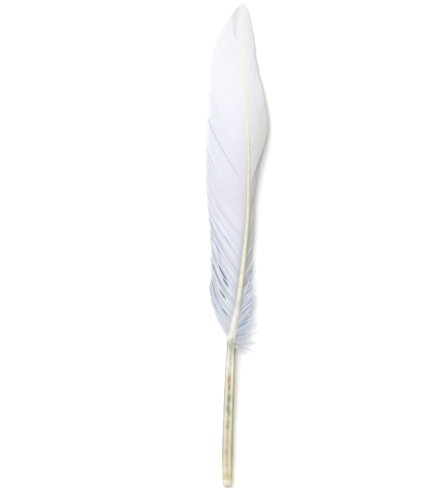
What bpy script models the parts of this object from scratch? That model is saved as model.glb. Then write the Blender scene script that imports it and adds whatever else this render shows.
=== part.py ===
# A turkey quill feather, lying on a flat surface with its upper side up.
#
# Metres, +Z up. The quill points to -Y and the tip of the vane to +Y. The origin is in the
# middle of the feather's outline, on the surface it lies on. The feather grew as one piece,
# so it is one solid: the shaft, and the two vanes that branch from it in locks of barbs.

import math
import random
from dataclasses import dataclass

import bmesh
import bpy
import numpy as np
from mathutils import Vector

# Driving dimensions. Profiles are (station, value) pairs in millimetres, and a station is
# the distance along Y from the end of the quill.
MM = 0.001
LENGTH = 280.0
BARE_QUILL = 84.0
DOWN_END = 119.0
LAST_BARB = 266.0
RACHIS_END = 277.5

SHAFT_SIDEWAYS = ((0, -6.2), (45, -5.3), (77, -4.1), (101, -0.9), (130, 2.8), (160, 5.4),
                  (190, 6.0), (220, 4.9), (250, 3.4), (280, 3.0))
SHAFT_UNDERSIDE = ((0, 0), (24, 0), (50, 1.2), (84, 3.6), (120, 6.6), (155, 8.4), (190, 8.0),
                   (220, 5.9), (245, 3.3), (265, 1.3), (280, 0.6))
SHAFT_RADIUS = ((0, 2.75), (12, 2.88), (32, 2.62), (60, 2.55), (77, 2.45), (90, 2.4),
                (101, 1.9), (116, 1.4), (131, 1.2), (160, 1.02), (205, 0.85), (225, 0.65),
                (250, 0.48), (280, 0.38))
QUILL_END_ROUNDING = ((0, 0.55), (0.5, 0.8), (1.4, 0.95), (3, 1))
RACHIS_END_ROUNDING = 0.6
END_PIT_RADIUS = 0.7
END_PIT_DEPTH = 0.9
SHAFT_BEVEL_RESOLUTION = 4
SHAFT_STEP = 5.0

# The broad vane is on -X and the narrow one on +X. REACH is how far past its root a barb
# meets the vane's edge, WIDTH the edge's distance from the shaft, and DROP how far the edge
# hangs below the shaft. The narrow vane curls down steeply in its lower half.
BROAD, NARROW = -1, 1
REACH = {
    BROAD: ((84, 29), (110, 31), (140, 38), (168, 45), (200, 46), (225, 38), (245, 27.5),
            (257, 20), (266, 14)),
    NARROW: ((84, -4), (90, 4), (98, 9), (110, 12), (125, 13), (145, 14.5), (155, 17),
             (163, 24), (171, 31), (185, 34), (200, 36), (225, 33), (245, 26), (257, 19),
             (266, 14)),
}
WIDTH = {
    BROAD: ((113, 18.4), (125, 18.8), (135, 19.6), (150, 21.8), (165, 23.6), (180, 24.4),
            (195, 24.4), (205, 23.8), (219, 22.6), (236, 20.8), (248, 18.9), (260, 14.8),
            (270, 8.8), (276, 4.3), (280, 0)),
    NARROW: ((80, 9.5), (88, 11.5), (98, 11.6), (108, 9.2), (118, 6.4), (130, 4.7), (145, 4),
             (158, 3.5), (166, 3.3), (172, 3.7), (178, 4.4), (184, 5.2), (189, 6.2),
             (194, 7.4), (200, 9.6), (205, 11.6), (211, 11.8), (219, 10.9), (230, 9.2),
             (240, 7.3), (247, 6.7), (257, 5.9), (266, 4.6), (273, 3.2), (277, 1.8), (280, 0)),
}
DROP = {
    BROAD: ((84, 9), (113, 8), (128, 7), (150, 6), (190, 6), (230, 4.4), (255, 2.1), (280, 0)),
    NARROW: ((80, 8), (105, 7.6), (125, 5.8), (150, 4.4), (190, 3.8), (210, 3.8), (235, 2.6),
             (255, 1.6), (280, 0)),
}
DROP_POWER = 1.7

# A barb leaves the shaft straight, and sweeps towards the tip in the rest of its reach.
STRAIGHT_SHARE = {
    BROAD: ((BARE_QUILL, 0.8), (LAST_BARB, 0.8)),
    NARROW: ((BARE_QUILL, 0.95), (225, 0.95), (LAST_BARB, 0.8)),
}
SWEEP_POWER = 5
VANE_THICKNESS = 0.5
VANE_ABOVE_CENTRE = 0.3
SURFACE_BLEND = 0.5

# Each vane is made of locks of barbs, a grid of two columns each. Neighbours are joined up to
# the row where the split between them opens, and a split lock narrows by its pinch. The
# lowest locks are downy: finer, split further in, and uneven in length.
DOWNY_LOCKS = 10
VANE_LOCKS = 29
ROWS = (0, 0.12, 0.26, 0.4, 0.54, 0.68, 0.8, 0.91, 1)
LOCK_CAMBER = 0.014
EDGE_PINCH = 0.12
DOWNY_PINCH = {BROAD: 0.4, NARROW: 0.9}
DOWNY_SHORTEST = {BROAD: 0.9, NARROW: 0.72}
DOWNY_SPLIT_ROW = {BROAD: 5, NARROW: 2}
LONG_SPLITS = {BROAD: {3: 3, 7: 2, 12: 5, 20: 2, 31: 5}, NARROW: {22: 5, 34: 5}}
ONE_ROW_SPLITS = 0.7
SEED = 5


@dataclass
class Lock:
    side: int
    first_root: float
    last_root: float
    splits: tuple
    pinch: float
    length: float
    rise: float


def clear_scene():
    for obj in list(bpy.data.objects):
        bpy.data.objects.remove(obj)


def smooth(profile, at):
    """The smooth curve through a profile's points, read at a station. It doesn't overshoot."""
    stations, values = np.array(profile, float).T
    rises = np.diff(values) / np.diff(stations)
    before, after = rises[:-1], rises[1:]
    same_way = before * after > 0
    middle = np.where(same_way, 2 * before * after / np.where(same_way, before + after, 1), 0)
    slopes = np.concatenate((rises[:1], middle, rises[-1:]))
    k = int(np.clip(np.searchsorted(stations, at) - 1, 0, len(rises) - 1))
    gap = stations[k + 1] - stations[k]
    t = float(np.clip((at - stations[k]) / gap, 0, 1))
    return (
        values[k] * (1 + 2 * t) * (1 - t) ** 2
        + values[k + 1] * t * t * (3 - 2 * t)
        + gap * slopes[k] * t * (1 - t) ** 2
        - gap * slopes[k + 1] * t * t * (1 - t)
    )


def shaft_normal(station):
    """The level direction square to the shaft, towards the narrow vane."""
    ahead = smooth(SHAFT_SIDEWAYS, station + 1) - smooth(SHAFT_SIDEWAYS, station - 1)
    return Vector((2, -ahead, 0)).normalized()


def shaft_centre(station):
    height = smooth(SHAFT_UNDERSIDE, station) + smooth(SHAFT_RADIUS, station)
    return Vector((smooth(SHAFT_SIDEWAYS, station), station, height))


def in_row_frame(point):
    """A point in millimetres from the quill's end, in metres from the feather's middle."""
    return (point - Vector((0, LENGTH / 2, 0))) * MM


def above_surface(height):
    """The height, eased so that it stays above the surface that the feather lies on."""
    over = height - VANE_THICKNESS
    return VANE_THICKNESS + (over + math.hypot(over, SURFACE_BLEND)) / 2


def edge_station(side, root):
    """Where the barb that grows at the station root meets the vane's edge."""
    return root + smooth(REACH[side], root)


def vane_point(side, root, t):
    """The point a share t along the barb that grows at the station root."""
    edge = edge_station(side, root)
    straight = smooth(STRAIGHT_SHARE[side], root)
    station = root + (edge - root) * (straight * t + (1 - straight) * t**SWEEP_POWER)
    point = shaft_centre(station) + shaft_normal(station) * side * smooth(WIDTH[side], edge) * t
    height = point.z + VANE_ABOVE_CENTRE * smooth(SHAFT_RADIUS, station)
    point.z = above_surface(height - smooth(DROP[side], edge) * t**DROP_POWER)
    return point


def split_row(side, boundary, rng):
    """The row at which the locks on the two sides of a boundary part."""
    usual = len(ROWS) - (2 if rng.random() < ONE_ROW_SPLITS else 3)
    if boundary < DOWNY_LOCKS:
        usual = DOWNY_SPLIT_ROW[side]
    return LONG_SPLITS[side].get(boundary, usual)


def locks_of(side, rng):
    """The locks of one vane, from its base to its tip."""
    roots = [
        *np.linspace(BARE_QUILL, DOWN_END, DOWNY_LOCKS, endpoint=False),
        *np.linspace(DOWN_END, LAST_BARB, VANE_LOCKS + 1),
    ]
    splits = [split_row(side, boundary, rng) for boundary in range(len(roots))]
    splits[0], splits[-1] = 0, len(ROWS) - 1
    locks = []
    for k in range(len(roots) - 1):
        downy = k < DOWNY_LOCKS
        width = smooth(WIDTH[side], edge_station(side, (roots[k] + roots[k + 1]) / 2))
        locks.append(Lock(
            side=side,
            first_root=roots[k],
            last_root=roots[k + 1],
            splits=(splits[k], splits[k + 1]),
            pinch=DOWNY_PINCH[side] if downy else EDGE_PINCH,
            length=rng.uniform(DOWNY_SHORTEST[side], 1) if downy else 1,
            rise=width * LOCK_CAMBER * rng.uniform(0.5, 1.3),
        ))
    return locks


def add_lock(bm, lock):
    """One lock as a strip of the vane, a little higher along its middle than at its sides."""
    made = bmesh.ops.create_grid(bm, x_segments=2, y_segments=len(ROWS) - 1, size=0.5)
    middle_root = (lock.first_root + lock.last_root) / 2
    roots = (lock.first_root, middle_root, lock.last_root)
    splits = (lock.splits[0], min(lock.splits), lock.splits[1])
    for vert in made["verts"]:
        column = round((vert.co.x + 0.5) * 2)
        t = ROWS[round((vert.co.y + 0.5) * (len(ROWS) - 1))]
        split = ROWS[splits[column]]
        past_split = max(0.0, t - split)
        t -= past_split * (1 - lock.length)
        vert.co = vane_point(lock.side, roots[column], t)
        if column == 1:
            vert.co.z += lock.rise * math.sin(math.pi * t)
        elif past_split:
            centre = vane_point(lock.side, middle_root, t)
            vert.co = vert.co.lerp(centre, lock.pinch * past_split / (1 - split))


def vane_sheet():
    """Both vanes as one open sheet, welded along the shaft and between the locks."""
    rng = random.Random(SEED)
    bm = bmesh.new()
    for side in (BROAD, NARROW):
        for lock in locks_of(side, rng):
            add_lock(bm, lock)
    bmesh.ops.remove_doubles(bm, verts=bm.verts, dist=1e-4)
    bmesh.ops.recalc_face_normals(bm, faces=bm.faces)
    if sum(face.normal.z for face in bm.faces) < 0:
        bmesh.ops.reverse_faces(bm, faces=bm.faces)
    for vert in bm.verts:
        vert.co = in_row_frame(vert.co)
    return bm


def shaft_curve():
    """The bare quill and the rachis as one tapered curve, rounded off at the quill's end."""
    straight_on = np.arange(QUILL_END_ROUNDING[-1][0] + SHAFT_STEP, RACHIS_END, SHAFT_STEP)
    sections = [
        *QUILL_END_ROUNDING,
        *((station, 1) for station in straight_on),
        (RACHIS_END, RACHIS_END_ROUNDING),
    ]
    curve = bpy.data.curves.new("shaft", "CURVE")
    curve.dimensions = "3D"
    curve.twist_mode = "Z_UP"
    curve.bevel_depth = MM
    curve.bevel_resolution = SHAFT_BEVEL_RESOLUTION
    curve.use_fill_caps = True
    spline = curve.splines.new("POLY")
    spline.points.add(len(sections) - 1)
    for point, (station, rounding) in zip(spline.points, sections):
        point.co = (*in_row_frame(shaft_centre(station)), 1)
        point.radius = smooth(SHAFT_RADIUS, station) * rounding
    return bpy.data.objects.new("shaft_curve", curve)


def closed_mesh_of(curve_object, collection):
    """The curve's tube as a closed mesh object, so that a Boolean can use it."""
    collection.objects.link(curve_object)
    evaluated = curve_object.evaluated_get(bpy.context.evaluated_depsgraph_get())
    mesh = bpy.data.meshes.new_from_object(evaluated)
    bpy.data.objects.remove(curve_object)
    bm = bmesh.new()
    bm.from_mesh(mesh)
    bmesh.ops.remove_doubles(bm, verts=bm.verts, dist=0.01 * MM)
    sink_end_pit(bm)
    bmesh.ops.recalc_face_normals(bm, faces=bm.faces)
    return object_from(bm, "shaft", collection)


def sink_end_pit(bm):
    """The small blind pit in the quill's end, where the living feather was fed."""
    end = min(vert.co.y for vert in bm.verts) + 0.2 * MM
    cap_faces = [face for face in bm.faces if face.calc_center_median().y < end]
    end_cap = bmesh.ops.dissolve_faces(bm, faces=cap_faces)["region"][0]
    rim_radius = SHAFT_RADIUS[0][1] * QUILL_END_ROUNDING[0][1]
    bmesh.ops.inset_region(bm, faces=[end_cap], thickness=(rim_radius - END_PIT_RADIUS) * MM)
    bmesh.ops.inset_region(bm, faces=[end_cap], thickness=END_PIT_RADIUS / 3 * MM)
    bmesh.ops.translate(bm, verts=end_cap.verts, vec=(0, END_PIT_DEPTH * MM, 0))


def object_from(bm, name, collection):
    mesh = bpy.data.meshes.new(name)
    bm.to_mesh(mesh)
    bm.free()
    obj = bpy.data.objects.new(name, mesh)
    collection.objects.link(obj)
    return obj


def feather_material():
    material = bpy.data.materials.new("feather_keratin")
    material.use_nodes = True
    shader = material.node_tree.nodes["Principled BSDF"]
    shader.inputs["Base Color"].default_value = (0.80, 0.80, 0.86, 1)
    shader.inputs["Roughness"].default_value = 0.6
    shader.inputs["Metallic"].default_value = 0.0
    return material


def new_collection(name):
    collection = bpy.data.collections.new(name)
    bpy.context.scene.collection.children.link(collection)
    return collection


def main():
    clear_scene()
    feather_parts = new_collection("turkey_feather")
    joined_shapes = new_collection("joined_shapes")

    feather = object_from(vane_sheet(), "feather", feather_parts)
    feather.data.materials.append(feather_material())
    solidify = feather.modifiers.new("vane_thickness", "SOLIDIFY")
    solidify.thickness = VANE_THICKNESS * MM
    solidify.offset = -1

    shaft = closed_mesh_of(shaft_curve(), joined_shapes)
    shaft.data.shade_smooth()
    shaft.hide_render = True
    shaft.display_type = "WIRE"
    join = feather.modifiers.new("join_shaft", "BOOLEAN")
    join.operation = "UNION"
    join.object = shaft


main()
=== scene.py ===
# A white turkey quill feather with a pale lilac tint, lying on a pale surface.
#
# Lengths in the sections are in millimetres, and a station is the distance along the feather
# from the end of the quill. in_row_frame turns a place into metres in the frame of the CAD.

import math

import bmesh
import bpy
import numpy as np
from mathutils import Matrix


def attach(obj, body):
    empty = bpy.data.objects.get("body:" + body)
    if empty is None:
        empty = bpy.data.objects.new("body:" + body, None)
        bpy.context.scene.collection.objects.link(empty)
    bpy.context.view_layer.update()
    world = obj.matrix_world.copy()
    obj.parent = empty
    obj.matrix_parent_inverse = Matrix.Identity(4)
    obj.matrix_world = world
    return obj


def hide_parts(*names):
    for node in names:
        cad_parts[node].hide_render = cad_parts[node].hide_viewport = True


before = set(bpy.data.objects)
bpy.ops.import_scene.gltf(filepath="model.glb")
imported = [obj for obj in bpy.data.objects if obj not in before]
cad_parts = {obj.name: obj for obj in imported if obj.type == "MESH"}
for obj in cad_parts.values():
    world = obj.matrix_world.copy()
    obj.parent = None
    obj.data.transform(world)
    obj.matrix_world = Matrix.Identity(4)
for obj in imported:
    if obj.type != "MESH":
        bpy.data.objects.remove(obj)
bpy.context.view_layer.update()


# The shaft. The bare quill and the rachis are one piece of horn that grew with the feather.
# The quill is a clear tube with grey and ochre remains of pith, cut off round with a pit where
# the feather was fed. The rachis is filled with white pith, grooved beneath, and thins to a thread.
MM = 0.001
LENGTH = 280.0
RACHIS_END = 278.0
# A profile gives a value at each of some stations, and smooth joins them.
SHAFT_SIDEWAYS = ((0, -6.25), (20, -6.1), (45, -5.4), (77, -4.05), (101, -0.85), (130, 2.95),
                  (160, 5.5), (190, 6.0), (220, 4.9), (250, 3.4), (280, 3.0))
SHAFT_UNDERSIDE = ((0, 0), (24, 0), (50, 1.2), (84, 3.6), (120, 6.6), (155, 8.07), (190, 7.9),
                   (220, 5.9), (245, 3.3), (265, 1.3), (280, 0.6))
SHAFT_RADIUS = ((0, 2.75), (12, 2.95), (22, 3.02), (50, 2.97), (64, 2.9), (77, 2.6), (90, 2.4),
                (101, 2.1), (116, 1.65), (131, 1.42), (160, 1.15), (205, 0.9), (225, 0.65),
                (250, 0.48), (280, 0.38))
QUILL_END_ROUNDING = ((0, 0.55), (0.5, 0.8), (1.4, 0.95), (3, 1), (280, 1))
SHAFT_SQUARENESS = ((0, 2), (80, 2.05), (105, 2.5), (150, 2.9), (230, 2.6), (280, 2))
GROOVE_DEPTH = ((0, 0), (92, 0), (115, 0.32), (230, 0.3), (270, 0.1), (280, 0))
GROOVE_HALF_WIDTH = 0.4
# How far the white wedge bulges past the quill on the broad vane's side.
WHITE_LIP = ((0, 0), (79, 0), (85, 0.75), (91, 0.55), (102, 0), (280, 0))
# The dents are two slow waves: how deep as a share of the radius, and how fast they run along
# the shaft and round it.
DENTS = ((0.012, 0.23, 12), (0.01, 0.61, -19))
DEEPEST_DENT = 0.022
DENTS_FADE_IN = (3, 8)
RACHIS_TIP_THINNING = 0.4
RACHIS_TIP_RUN = 3


def smooth(profile, at):
    """The smooth curve through a profile's points, read at stations. It doesn't overshoot."""
    stations, values = np.array(profile, float).T
    rises = np.diff(values) / np.diff(stations)
    before, after = rises[:-1], rises[1:]
    same_way = before * after > 0
    middle = np.where(same_way, 2 * before * after / np.where(same_way, before + after, 1), 0)
    slopes = np.concatenate((rises[:1], middle, rises[-1:]))
    k = np.clip(np.searchsorted(stations, at) - 1, 0, len(rises) - 1)
    gap = stations[k + 1] - stations[k]
    t = np.clip((at - stations[k]) / gap, 0, 1)
    return (
        values[k] * (1 + 2 * t) * (1 - t) ** 2
        + values[k + 1] * t * t * (3 - 2 * t)
        + gap * slopes[k] * t * (1 - t) ** 2
        - gap * slopes[k + 1] * t * t * (1 - t)
    )


def ramp(low, high, at):
    """0 below low, 1 above high, and smooth between them."""
    t = np.clip((at - low) / (high - low), 0, 1)
    return t * t * (3 - 2 * t)


def shaft_normal(station):
    """Level and square to the shaft, towards the narrow vane."""
    ahead = smooth(SHAFT_SIDEWAYS, station + 1) - smooth(SHAFT_SIDEWAYS, station - 1)
    normal = np.stack((np.full_like(ahead, 2), -ahead, np.zeros_like(ahead)), axis=-1)
    return normal / np.linalg.norm(normal, axis=-1, keepdims=True)


def shaft_centre(station):
    """Points on the shaft's middle line."""
    height = smooth(SHAFT_UNDERSIDE, station) + smooth(SHAFT_RADIUS, station)
    return np.stack((smooth(SHAFT_SIDEWAYS, station), station, height), axis=-1)


def in_row_frame(points):
    """Points in millimetres from the quill's end, in metres from the feather's middle."""
    return (points - np.array((0, LENGTH / 2, 0))) * MM


def shaft_point(station, turn):
    """Points of the shaft's surface. turn is 0 on top, 0.25 at the right and 0.5 beneath."""
    power = 2 / smooth(SHAFT_SQUARENESS, station)
    sideways = np.sin(2 * math.pi * turn)
    upward = np.cos(2 * math.pi * turn)
    across = np.sign(sideways) * np.abs(sideways) ** power
    up = np.sign(upward) * np.abs(upward) ** power
    groove = smooth(GROOVE_DEPTH, station) * np.exp(-((across / GROOVE_HALF_WIDTH) ** 2))
    up += np.where(upward < 0, groove, 0)
    dents = sum(depth * np.sin(station * along + turn * about) for depth, along, about in DENTS)
    radius = smooth(SHAFT_RADIUS, station) * smooth(QUILL_END_ROUNDING, station)
    radius *= 1 + (dents - DEEPEST_DENT) * ramp(*DENTS_FADE_IN, station)
    radius *= 1 - RACHIS_TIP_THINNING * ramp(RACHIS_END - RACHIS_TIP_RUN, RACHIS_END, station)
    lip = smooth(WHITE_LIP, station) * np.clip(-sideways, 0, 1) ** 2
    away = (across * radius - lip)[:, None]
    return shaft_centre(station) + shaft_normal(station) * away + np.outer(up * radius, (0, 0, 1))


def set_floats(mesh, name, values):
    """Gives a mesh an attribute with one value for each of its corners."""
    attribute = mesh.attributes.new(name, "FLOAT", "POINT")
    attribute.data.foreach_set("value", np.asarray(values, np.float32))


def set_vectors(mesh, name, parts):
    """Gives a mesh an attribute with three values for each of its corners."""
    attribute = mesh.attributes.new(name, "FLOAT_VECTOR", "POINT")
    attribute.data.foreach_set("vector", np.stack(parts, axis=-1).astype(np.float32).ravel())


def place_points(mesh, points):
    """Moves a mesh's corners to points given in millimetres from the quill's end."""
    mesh.vertices.foreach_set("co", in_row_frame(points).astype(np.float32).ravel())
    mesh.update()


def mesh_from(bm, name):
    """A bmesh as a mesh of its own."""
    mesh = bpy.data.meshes.new(name)
    bm.to_mesh(mesh)
    bm.free()
    return mesh


def in_scene(name, data):
    """An object in the scene, at the origin."""
    made = bpy.data.objects.new(name, data)
    bpy.context.scene.collection.objects.link(made)
    return made


def new_piece(name, mesh, material):
    """A piece that stands for the CAD feather and rides on its only body."""
    piece = in_scene(name, mesh)
    mesh.materials.append(material)
    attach(piece, "root")
    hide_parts("feather")


def shown(red, green, blue):
    """A colour as a screen shows it, 0 to 255, as the linear colour that a shader takes."""
    parts = (value / 255 for value in (red, green, blue))
    return (*(v / 12.92 if v <= 0.04045 else ((v + 0.055) / 1.055) ** 2.4 for v in parts), 1)


def shown_stops(stops):
    """A ramp's stops, with each colour turned from a screen's into a shader's."""
    return tuple((place, shown(*colour)) for place, colour in stops)


def tone_stops(stops, green, blue):
    """A ramp's stops that lighten or darken a colour, with its green and blue eased a little."""
    return tuple((place, (tone, tone * green, tone * blue, 1)) for place, tone in stops)


def add_node(tree, kind, inputs=(), **settings):
    """A node with its settings. An input is a plain value, or an output that is linked to it."""
    made = tree.nodes.new("ShaderNode" + kind)
    for name, value in settings.items():
        setattr(made, name, value)
    for key, value in dict(inputs).items():
        if isinstance(value, bpy.types.NodeSocket):
            tree.links.new(value, made.inputs[key])
        else:
            made.inputs[key].default_value = value
    return made


def add_ramp(tree, factor, stops):
    """A colour ramp, with its stops as (place, colour) pairs."""
    made = add_node(tree, "ValToRGB", {"Fac": factor})
    elements = made.color_ramp.elements
    while len(elements) < len(stops):
        elements.new(1)
    for element, (place, colour) in zip(elements, stops):
        element.position = place
        element.color = colour
    return made.outputs["Color"]


def add_maths(tree, operation, *values):
    """One sum, of plain values or other nodes' outputs."""
    return add_node(tree, "Math", enumerate(values), operation=operation).outputs[0]


def add_range(tree, value, low, high, first=0.0, last=1.0):
    """A value that goes from first to last while the given one goes from low to high."""
    inputs = {"Value": value, "From Min": low, "From Max": high, "To Min": first, "To Max": last}
    return add_node(tree, "MapRange", inputs).outputs[0]


def add_attribute(tree, name, output):
    """What a piece's mesh keeps under a name, as a Vector or as a Fac."""
    return add_node(tree, "Attribute", attribute_name=name).outputs[output]


def add_mix(tree, factor, first, second, blend="MIX"):
    """Two colours mixed by a factor."""
    inputs = {0: factor, 6: first, 7: second}
    return add_node(tree, "Mix", inputs, data_type="RGBA", blend_type=blend).outputs[2]


def new_material(name, inputs):
    """A material, its node tree and the Principled BSDF in it, with plain values on its inputs."""
    material = bpy.data.materials.new(name)
    material.use_nodes = True
    shader = material.node_tree.nodes["Principled BSDF"]
    for key, value in inputs.items():
        shader.inputs[key].default_value = value
    return material, material.node_tree, shader


def fibre_grain_group():
    """Fine fibres that run along a strand, as a tone around 1 and a height."""
    group = bpy.data.node_groups.new("fibre_grain", "ShaderNodeTree")
    sockets = group.interface
    sockets.new_socket(name="Place", in_out="INPUT", socket_type="NodeSocketVector")
    for name, usual in (("Across", 1.0), ("Along", 0.1), ("Strength", 0.1)):
        socket = sockets.new_socket(name=name, in_out="INPUT", socket_type="NodeSocketFloat")
        socket.default_value = usual
    sockets.new_socket(name="Tone", in_out="OUTPUT", socket_type="NodeSocketFloat")
    sockets.new_socket(name="Height", in_out="OUTPUT", socket_type="NodeSocketFloat")
    given = group.nodes.new("NodeGroupInput")
    result = group.nodes.new("NodeGroupOutput")
    parts = add_node(group, "SeparateXYZ", {0: given.outputs["Place"]})
    across = add_maths(group, "MULTIPLY", parts.outputs["X"], given.outputs["Across"])
    along = add_maths(group, "MULTIPLY", parts.outputs["Y"], given.outputs["Along"])
    place = add_node(group, "CombineXYZ", {"X": across, "Y": along}).outputs[0]
    coarse = add_node(group, "TexNoise", {"Vector": place, "Scale": 1.0, "Detail": 3.0})
    fine = add_node(group, "TexNoise", {"Vector": place, "Scale": 4.0, "Detail": 2.0})
    both = add_maths(group, "ADD", coarse.outputs["Fac"], fine.outputs["Fac"])
    centred = add_maths(group, "SUBTRACT", both, 1.0)
    scaled = add_maths(group, "MULTIPLY", centred, given.outputs["Strength"])
    group.links.new(add_maths(group, "ADD", scaled, 1.0), result.inputs["Tone"])
    group.links.new(both, result.inputs["Height"])
    return group


FIBRE_GRAIN = fibre_grain_group()


def add_fibre_grain(tree, place, across, along, strength):
    """The fibre grain, with how many fibres there are to each unit across and along a strand."""
    inputs = {"Place": place, "Across": across, "Along": along, "Strength": strength}
    return add_node(tree, "Group", inputs, node_tree=FIBRE_GRAIN)


def add_bump(tree, grain, strength, distance):
    """The normal of a surface with a grain's height on it, by a distance in millimetres."""
    inputs = {"Height": grain.outputs["Height"], "Strength": strength, "Distance": distance * MM}
    return add_node(tree, "Bump", inputs).outputs[0]


def add_toned(tree, colour, tone):
    """A colour made lighter or darker by a tone around 1."""
    grey = add_node(tree, "CombineColor", {"Red": tone, "Green": tone, "Blue": tone}).outputs[0]
    return add_mix(tree, 1.0, colour, grey, "MULTIPLY")


# The blotches are noise around a half, so they are doubled to vary the pith around its strength.
PITH_BLOTCHES_IN_A_METRE = (620, 330, 620)
BLOTCH_GAIN = 2.0
MOST_PITH = 0.85
WEDGE_BLEND = (-0.8, 0.5)
# Colours as a screen shows them, by the share of the feather's length.
QUILL_COLOURS = (
    (0.000, (222, 215, 198)), (0.012, (236, 229, 210)), (0.018, (216, 203, 158)),
    (0.026, (219, 207, 164)), (0.034, (230, 223, 192)), (0.076, (219, 213, 183)),
    (0.138, (236, 231, 202)), (0.179, (226, 223, 204)), (0.220, (238, 233, 208)),
    (0.250, (242, 241, 226)), (0.292, (218, 219, 206)), (0.310, (212, 214, 204)),
)
RACHIS_COLOURS = (
    (0.300, (226, 226, 218)), (0.345, (220, 221, 216)), (0.358, (224, 224, 219)),
    (0.374, (209, 210, 208)), (0.390, (217, 217, 212)), (0.425, (222, 221, 206)),
    (0.500, (218, 217, 203)), (0.590, (213, 210, 194)), (0.690, (215, 213, 200)),
    (0.780, (221, 221, 213)), (0.860, (232, 232, 230)), (1.000, (234, 234, 234)),
)
PITH_COLOURS = ((0.17, (132, 126, 102)), (0.195, (146, 130, 76)), (0.24, (146, 130, 76)),
                (0.27, (132, 126, 102)))
# Painted light and shade by the share of the shaft's width, from its left edge to its right one.
# The quill's are a painted highlight and painted dark rims for the light through a clear tube,
# which is weaker at its solid end. The wedge's and the rachis's are painted shade at their sides.
QUILL_PAINTED_TUBE_LIGHT = ((0.0, 0.42), (0.07, 0.6), (0.18, 0.99), (0.3, 0.83), (0.42, 0.67), (0.52, 0.71),
               (0.63, 0.9), (0.72, 1.1), (0.79, 0.96), (0.88, 0.58), (1.0, 0.36))
WEDGE_PAINTED_SIDE_SHADE = ((0.0, 0.84), (0.1, 0.98), (0.35, 1.0), (0.6, 0.92), (0.85, 0.9), (1.0, 0.94))
RACHIS_PAINTED_SIDE_SHADE = ((0.0, 0.64), (0.14, 0.76), (0.32, 0.95), (0.5, 1.0), (0.7, 0.97), (0.88, 0.92),
                (1.0, 0.86))
SOLID_END = (4.0, 18.0)
SOLID_END_TUBE = 0.3
# The wedge's tones give way to the rachis's between these shares of the feather's length.
PAST_WEDGE = (0.345, 0.39)
QUILL_SPECKLES = 0.45
RACHIS_SPECKLES = 0.8
SPECKLE_TONES = ((0.35, (0.84, 0.82, 0.81, 1)), (0.5, (0.96, 0.95, 0.95, 1)), (0.62, (1, 1, 1, 1)))


def clear_horn(tree, along, station, width_share, blotches):
    """The quill's colour: a clear tube that light passes through, with pith left inside."""
    clear = add_ramp(tree, along, shown_stops(QUILL_COLOURS))
    # A painted highlight and painted dark rims across the quill, for the light through the tube.
    tube = add_ramp(tree, width_share, tone_stops(QUILL_PAINTED_TUBE_LIGHT, green=0.995, blue=0.98))
    hollow = add_range(tree, station, *SOLID_END, first=SOLID_END_TUBE)
    clear = add_mix(tree, hollow, clear, tube, "MULTIPLY")
    pith = add_attribute(tree, "pith", "Fac")
    gained = add_maths(tree, "MULTIPLY", blotches, BLOTCH_GAIN)
    blotched = add_maths(tree, "MINIMUM", add_maths(tree, "MULTIPLY", pith, gained), MOST_PITH)
    pith_colour = add_ramp(tree, along, shown_stops(PITH_COLOURS))
    return add_mix(tree, blotched, clear, pith_colour)


def filled_horn(tree, along, width_share):
    """The colour where pith fills the horn: the white wedge and, past it, the creamier rachis."""
    filled = add_ramp(tree, along, shown_stops(RACHIS_COLOURS))
    # Painted shade towards the sides of the wedge and of the rachis.
    wedge_side_shade = add_ramp(tree, width_share, tone_stops(WEDGE_PAINTED_SIDE_SHADE, green=1, blue=0.99))
    rachis_side_shade = add_ramp(tree, width_share, tone_stops(RACHIS_PAINTED_SIDE_SHADE, green=1, blue=0.98))
    past_wedge = add_range(tree, along, *PAST_WEDGE)
    sides = add_mix(tree, past_wedge, wedge_side_shade, rachis_side_shade)
    return add_mix(tree, 1.0, filled, sides, "MULTIPLY")


def horn_material():
    """Cream horn, clear in the quill with grey pith inside, and white where pith fills it."""
    material, tree, shader = new_material("quill_horn", {
        "Roughness": 0.38, "Specular IOR Level": 0.45, "Coat Weight": 0.15, "Coat Roughness": 0.3})
    place = add_attribute(tree, "shaft", "Vector")
    parts = add_node(tree, "SeparateXYZ", {0: place})
    turn, station = parts.outputs["X"], parts.outputs["Y"]
    along = add_maths(tree, "DIVIDE", station, LENGTH)
    sideways = add_maths(tree, "SINE", add_maths(tree, "MULTIPLY", turn, 2 * math.pi))
    width_share = add_maths(tree, "MULTIPLY_ADD", sideways, 0.5, 0.5)
    inside = add_node(tree, "Mapping", {"Vector": add_node(tree, "TexCoord").outputs["Object"],
                                        "Scale": PITH_BLOTCHES_IN_A_METRE}).outputs[0]
    noise = add_node(tree, "TexNoise", {"Vector": inside, "Scale": 1.0, "Detail": 4.0})
    blotches = noise.outputs["Fac"]
    speckles = add_ramp(tree, blotches, SPECKLE_TONES)
    clear = clear_horn(tree, along, station, width_share, blotches)
    clear = add_mix(tree, QUILL_SPECKLES, clear, speckles, "MULTIPLY")
    filled = filled_horn(tree, along, width_share)
    filled = add_mix(tree, RACHIS_SPECKLES, filled, speckles, "MULTIPLY")
    edge = add_range(tree, add_attribute(tree, "filled", "Fac"), *WEDGE_BLEND)
    colour = add_mix(tree, edge, clear, filled)
    grain = add_fibre_grain(tree, place, across=42.0, along=0.06, strength=0.12)
    tree.links.new(add_toned(tree, colour, grain.outputs["Tone"]), shader.inputs["Base Color"])
    bump = add_bump(tree, grain, strength=0.12, distance=0.05)
    tree.links.new(bump, shader.inputs["Normal"])
    return material


END_PIT_RADIUS = 0.7
END_PIT_DEPTH = 0.9
SHAFT_FACES_AROUND = 32
END_RINGS = (0, 0.5, 1.4)
FIRST_EVEN_RING = 3
RING_SPACING = 1.0
WELD_DISTANCE = 0.01


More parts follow.
